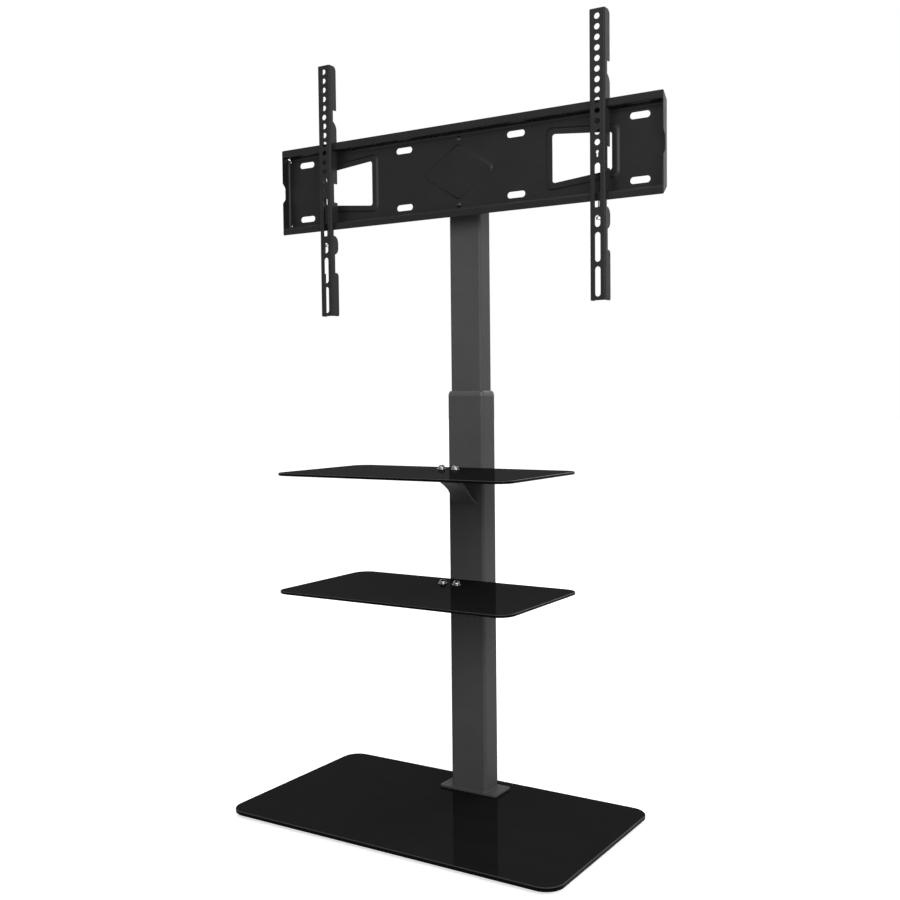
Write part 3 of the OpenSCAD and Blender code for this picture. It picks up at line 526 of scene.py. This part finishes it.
# One dome screw above and one below the middle of the mount plate
PLATE_SCREW_RISE, PLATE_SHEET = 62.5, 2
plate_front = span("mount_plate", Y)[1] - PLATE_SHEET
plate_heights = [PLATE_Z - PLATE_SCREW_RISE, PLATE_Z + PLATE_SCREW_RISE]
plate_screw = (shank(radius=3, length=14, pitch=1.0) + [(5.5, 0)]
               + dome(radius=5.5, height=3.5, base=0, stop=2.6)
               + socket(flats=4, rim=2.9, depth=1.3))
fixings("plate_dome_screws", "plate_screws", plate_screw,
        [(0, plate_front, z) for z in plate_heights], FRONT)
fixings("plate_hex_nuts", "plate_nuts", nut(flats=10, height=5, bore=6),
        [(0, span("plate_nuts", Y)[0], z) for z in plate_heights], BACK)

# Two cap screws behind the column that hold its height
CLAMP_SCREW_APART, CLAMP_HEAD_H = 50, 8
clamp_seat = span("clamp_screws", Y)[1] - CLAMP_HEAD_H
clamp_screw = (shank(radius=4, length=14.7, pitch=1.25)
               + knurled_head(radius=6.4, height=CLAMP_HEAD_H, ease=0.5, grip=(1, 7),
                              mouth=3.9)
               + socket(flats=6, rim=CLAMP_HEAD_H, depth=4.8))
fixings("clamp_cap_screws", "clamp_screws", clamp_screw,
        [(0, clamp_seat, CLAMP_Z + side * CLAMP_SCREW_APART / 2) for side in (-1, 1)],
        BACK)

# Four low-headed bolts from under the base into nuts on the foot
FOOT_BOLT_X, FOOT_BOLT_Y, BASE_HEAD_H = 25, 13, 4
base_head = [(6.6, 0), (6.8, 0.3), (6.8, 3.4), (6.2, BASE_HEAD_H), (3.4, BASE_HEAD_H)]
base_bolt = (shank(radius=4, length=25, pitch=1.25) + base_head
             + socket(flats=5, rim=BASE_HEAD_H, depth=2.4))
foot_places = [(x, COLUMN_Y + y) for x in (-FOOT_BOLT_X, FOOT_BOLT_X)
               for y in (-FOOT_BOLT_Y, FOOT_BOLT_Y)]
fixings("base_cap_bolts", "base_bolts", base_bolt,
        [(x, y, span("under_plate", Z)[0]) for x, y in foot_places], DOWN)
fixings("foot_hex_nuts", "foot_nuts", nut(flats=13, height=6, bore=8),
        [(x, y, span("foot_nuts", Z)[0]) for x, y in foot_places], UP)

# The swivel's hexagon bolt with its washer face, and its nut inside the column
PIVOT_HEAD_H, PIVOT_FLATS = 9.5, 19
pivot_head = [(11.8, 0), (12, 0.3), (12, 1.6), (11.4, 2), (9.6, 2),
              (11, 2.1, PIVOT_FLATS), (11, 8.4, PIVOT_FLATS),
              (9.4, PIVOT_HEAD_H), (0, PIVOT_HEAD_H)]
fixings("swivel_bolt", "pivot_bolt",
        shank(radius=6, length=27.6, pitch=1.75, bare=12.0) + pivot_head,
        [(0, COLUMN_Y, span("pivot_bolt", Z)[1] - PIVOT_HEAD_H)], UP)
fixings("swivel_nut", "pivot_nut", nut(flats=PIVOT_FLATS, height=12, bore=12),
        [(0, COLUMN_Y, span("pivot_nut", Z)[0])], UP)

# A cap screw from below that locks each hook bar on the plate's lower rail
LOCK_HEAD_H = 5
lock_screw = (shank(radius=3, length=28.2, pitch=1.0)
              + knurled_head(radius=6, height=LOCK_HEAD_H, ease=0.4, grip=(0.9, 4.1),
                             mouth=3.4)
              + socket(flats=5, rim=LOCK_HEAD_H, depth=2.9))
for side in ("left", "right"):
    node = "lock_screw_" + side
    fixings(side + "_lock_cap_screw", node, lock_screw,
            [(middle("hook_bar_" + side, X), middle(node, Y),
              span(node, Z)[0] + LOCK_HEAD_H)], DOWN)

# Six rubber pads under the base, with two grooves below and one round the side
PAD_PLACES = ((305, -155), (305, 155), (110, 155))
PAD_H = 9
pad = [(0, 0.8), (11.5, 0.8), (12.3, 0), (14.2, 0), (14.8, 0.8), (16, 0.8), (16.6, 0),
       (18, 0), (20, 2), (20, 5.4), (19.6, 5.8), (20, 6.2), (20, 8.6), (19.6, PAD_H),
       (0, PAD_H)]
fixings("rubber_feet", "foot_pads", pad,
        [(side * x, y, 0) for x, y in PAD_PLACES for side in (-1, 1)], UP)


# Weld beads

RIPPLE_PITCH = 1.8 * MM
RIPPLE_DEPTH = 0.16     # As a share of the bead's half width
RIPPLE_STEPS = 5        # Rings of the bead in one ripple
BEAD_SIDES = 14


def bead_tree():
    """A weld bead along a line of edges: a rod whose width swells once per ripple."""
    tree = bpy.data.node_groups.new("weld_bead", "GeometryNodeTree")
    face = tree.interface
    face.new_socket("Line", in_out="INPUT", socket_type="NodeSocketGeometry")
    for name in ("Bead Width", "Ripple Pitch", "Ripple Depth"):
        face.new_socket(name, in_out="INPUT", socket_type="NodeSocketFloat")
    face.new_socket("Finish", in_out="INPUT", socket_type="NodeSocketMaterial")
    face.new_socket("Bead", in_out="OUTPUT", socket_type="NodeSocketGeometry")
    given = add(tree, "NodeGroupInput").outputs
    line = add(tree, "GeometryNodeMeshToCurve", {"Mesh": given["Line"]})
    step = add(tree, "ShaderNodeMath", {0: given["Ripple Pitch"], 1: 1 / RIPPLE_STEPS},
               operation="MULTIPLY")
    fine = add(tree, "GeometryNodeResampleCurve", {
        "Curve": line, "Length": step}, mode="LENGTH")
    along = add(tree, "GeometryNodeSplineParameter").outputs["Length"]
    phase = add(tree, "ShaderNodeMath", {0: along, 1: given["Ripple Pitch"]},
                operation="DIVIDE")
    wave = add(tree, "ShaderNodeMath", {0: phase}, operation="FRACT")
    dip = add(tree, "ShaderNodeMath", {0: wave, 1: given["Ripple Depth"]},
              operation="MULTIPLY")
    swell = add(tree, "ShaderNodeMath", {0: 1.0, 1: dip}, operation="SUBTRACT")
    half = add(tree, "ShaderNodeMath", {0: given["Bead Width"], 1: 0.5},
               operation="MULTIPLY")
    ring = add(tree, "GeometryNodeCurvePrimitiveCircle", {
        "Resolution": BEAD_SIDES, "Radius": half})
    rod = add(tree, "GeometryNodeCurveToMesh", {
        "Curve": fine, "Profile Curve": ring.outputs["Curve"], "Scale": swell,
        "Fill Caps": True})
    smooth = add(tree, "GeometryNodeSetShadeSmooth", {"Geometry": rod})
    real = add(tree, "GeometryNodeRealizeInstances", {"Geometry": smooth})
    painted = add(tree, "GeometryNodeSetMaterial", {
        "Geometry": real, "Material": given["Finish"]})
    add(tree, "NodeGroupOutput", {0: painted})
    return tree


BEAD = bead_tree()


def weld_bead(name, body, slot, lines_mm, closed, width_mm):
    """A bead along each line of points, on a body, with the finish of a slot."""
    verts, edges = [], []
    for line in lines_mm:
        first = len(verts)
        verts += metres(line)
        edges += [(first + i, first + i + 1) for i in range(len(line) - 1)]
        if closed:
            edges.append((len(verts) - 1, first))
    mesh = bpy.data.meshes.new(name)
    mesh.from_pydata(verts, edges, [])
    made = new_object(name, mesh)
    run_tree(made, BEAD, {"Bead Width": width_mm * MM, "Ripple Pitch": RIPPLE_PITCH,
                          "Ripple Depth": RIPPLE_DEPTH, "Finish": FINISHES[slot]})
    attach(made, body)


def tube_outline(node, radius, steps=6):
    """Points round the foot of a rectangular tube whose corners have that radius."""
    (x0, x1), (y0, y1) = span(node, X), span(node, Y)
    centre_y = (y0 + y1) / 2
    points = []
    for quarter, (sx, sy) in enumerate(((1, 1), (-1, 1), (-1, -1), (1, -1))):
        for i in range(steps + 1):
            turn = math.pi / 2 * (quarter + i / steps)
            points.append((sx * ((x1 - x0) / 2 - radius) + radius * math.cos(turn),
                           centre_y + sy * ((y1 - y0) / 2 - radius)
                           + radius * math.sin(turn), span(node, Z)[0]))
    return points


CLAMP_BEAD_INSET = 2    # From the clamp plate's ends to the ends of its beads
weld_bead("foot_weld", "stand", "column_paint", [tube_outline("outer_tube", 6)],
          closed=True, width_mm=3.6)
clamp_low, clamp_high = span("clamp_plate", Z)
weld_bead("clamp_weld", "stand", "column_paint",
          [[(x, span("clamp_plate", Y)[0], clamp_low + CLAMP_BEAD_INSET),
            (x, span("clamp_plate", Y)[0], clamp_high - CLAMP_BEAD_INSET)]
           for x in span("clamp_plate", X)], closed=False, width_mm=4)


# Floor and light

FLOOR_SIDE = 60.0
FLOOR_NEAR, FLOOR_FAR = 0.65, 1.0       # How much the floor glows near the stand and far off
GLOW_FROM, GLOW_TO = 1.0, 3.0           # Distances between which that glow rises
FLOOR_SHADE = "#a0a0a0"
DOME_LEFT, DOME_RIGHT = 0.12, 0.42      # Strength of the room on either side
DOME_BLEND = 0.7                        # How far out to the sides it changes
# Name, place, what it points at, width and height, watts
LAMPS = (
    ("side_softbox", (2.6, -1.65, 1.5), (0, 0.1, 0.8), (1.0, 2.0), 72),
    ("front_softbox", (1.3, -2.7, 1.9), (0, 0, 0.8), (1.6, 1.2), 30),
    ("top_softbox", (0.2, -1.3, 3.0), (0, 0.1, 0.6), (3.0, 3.0), 42),
    ("back_softbox", (0.2, 3.0, 2.2), (0, 0.1, 0.8), (1.8, 1.8), 44),
)


def shows_background(tree):
    """1 for the camera's rays and for those that go on from metal or glass, else 0."""
    path = add(tree, "ShaderNodeLightPath").outputs
    seen = add(tree, "ShaderNodeMath", {
        0: path["Is Camera Ray"], 1: path["Is Glossy Ray"]}, operation="MAXIMUM")
    return add(tree, "ShaderNodeMath", {
        0: seen, 1: path["Is Transmission Ray"]}, operation="MAXIMUM")


def plain_floor():
    """A pale floor that shows white wherever the stand throws no shadow on it."""
    material, tree = empty_material("plain_pale_floor")
    place = add(tree, "ShaderNodeTexCoord").outputs["Object"]
    cloud = add(tree, "ShaderNodeTexNoise", {"Vector": place, "Scale": 0.7})
    tone = add(tree, "ShaderNodeMix", {
        0: cloud, 6: linear("#e6e6e6"), 7: linear("#eaeaea")}, data_type="RGBA")
    # Far from the stand the lamps reach the floor less, so there it glows more instead.
    away = add(tree, "ShaderNodeVectorMath", {0: place}, operation="LENGTH")
    glowing = add(tree, "ShaderNodeMapRange", {
        "Value": away.outputs["Value"], "From Min": GLOW_FROM, "From Max": GLOW_TO,
        "To Min": FLOOR_NEAR, "To Max": FLOOR_FAR}, interpolation_type="SMOOTHSTEP")
    level = add(tree, "ShaderNodeMath", {
        0: shows_background(tree), 1: glowing}, operation="MULTIPLY")
    glow = add(tree, "ShaderNodeEmission", {"Color": (1, 1, 1, 1), "Strength": level})
    # Rays that only light the stand meet a greyer floor, as under a large black base.
    path = add(tree, "ShaderNodeLightPath").outputs
    shade = add(tree, "ShaderNodeMix", {
        0: path["Is Diffuse Ray"], 6: tone.outputs[2], 7: linear(FLOOR_SHADE)},
        data_type="RGBA")
    paint = add(tree, "ShaderNodeBsdfDiffuse", {"Color": shade.outputs[2]})
    both = add(tree, "ShaderNodeAddShader", {0: paint, 1: glow})
    add(tree, "ShaderNodeOutputMaterial", {"Surface": both})
    mesh = bpy.data.meshes.new("floor")
    end = FLOOR_SIDE / 2
    mesh.from_pydata([(-end, -end, 0), (end, -end, 0), (end, end, 0), (-end, end, 0)],
                     [], [(0, 1, 2, 3)])
    mesh.materials.append(material)
    new_object("floor", mesh)


def pale_room():
    """The world: white where it is seen, a soft grey dome where it only lights."""
    world = bpy.data.worlds.new("pale_room")
    bpy.context.scene.world = world
    world.use_nodes = True
    tree = world.node_tree
    tree.nodes.clear()
    # The room is darker on the left, where the studio has no lamp.
    side = add(tree, "ShaderNodeSeparateXYZ", {
        0: add(tree, "ShaderNodeTexCoord").outputs["Generated"]})
    dome_level = add(tree, "ShaderNodeMapRange", {
        "Value": side.outputs["X"], "From Min": -DOME_BLEND, "From Max": DOME_BLEND,
        "To Min": DOME_LEFT, "To Max": DOME_RIGHT}, interpolation_type="SMOOTHSTEP")
    level = add(tree, "ShaderNodeMapRange", {
        "Value": shows_background(tree), "To Min": dome_level, "To Max": 1.0})
    sky = add(tree, "ShaderNodeBackground", {"Color": (1, 1, 1, 1), "Strength": level})
    add(tree, "ShaderNodeOutputWorld", {"Surface": sky})


def softbox(name, place, target, size, watts):
    light = bpy.data.lights.new(name, "AREA")
    light.shape = "RECTANGLE"
    light.size, light.size_y = size
    light.energy = watts
    lamp = new_object(name, light)
    lamp.location = place
    lamp.rotation_euler = (Vector(target) - Vector(place)).to_track_quat(
        "-Z", "Y").to_euler()


plain_floor()
pale_room()
for lamp in LAMPS:
    softbox(*lamp)


# Camera, at the photograph's angle

CAMERA_PLACE = (1.14529, -1.75514, 0.80427)
CAMERA_TURN, CAMERA_TILT, CAMERA_ROLL = 32.294, 87.192, -0.613     # Degrees
SENSOR, LENS = 36.0, 44.84                                         # Millimetres
FAR_CLIP = 100.0

camera_data = bpy.data.cameras.new("camera")
camera_data.sensor_width = SENSOR
camera_data.lens = LENS
camera_data.clip_end = FAR_CLIP
camera = new_object("camera", camera_data)
camera.matrix_world = (Matrix.Translation(CAMERA_PLACE)
                       @ Matrix.Rotation(math.radians(CAMERA_TURN), 4, "Z")
                       @ Matrix.Rotation(math.radians(CAMERA_TILT), 4, "X")
                       @ Matrix.Rotation(math.radians(CAMERA_ROLL), 4, "Z"))
bpy.context.scene.camera = camera
bpy.context.scene.view_settings.view_transform = "Standard"
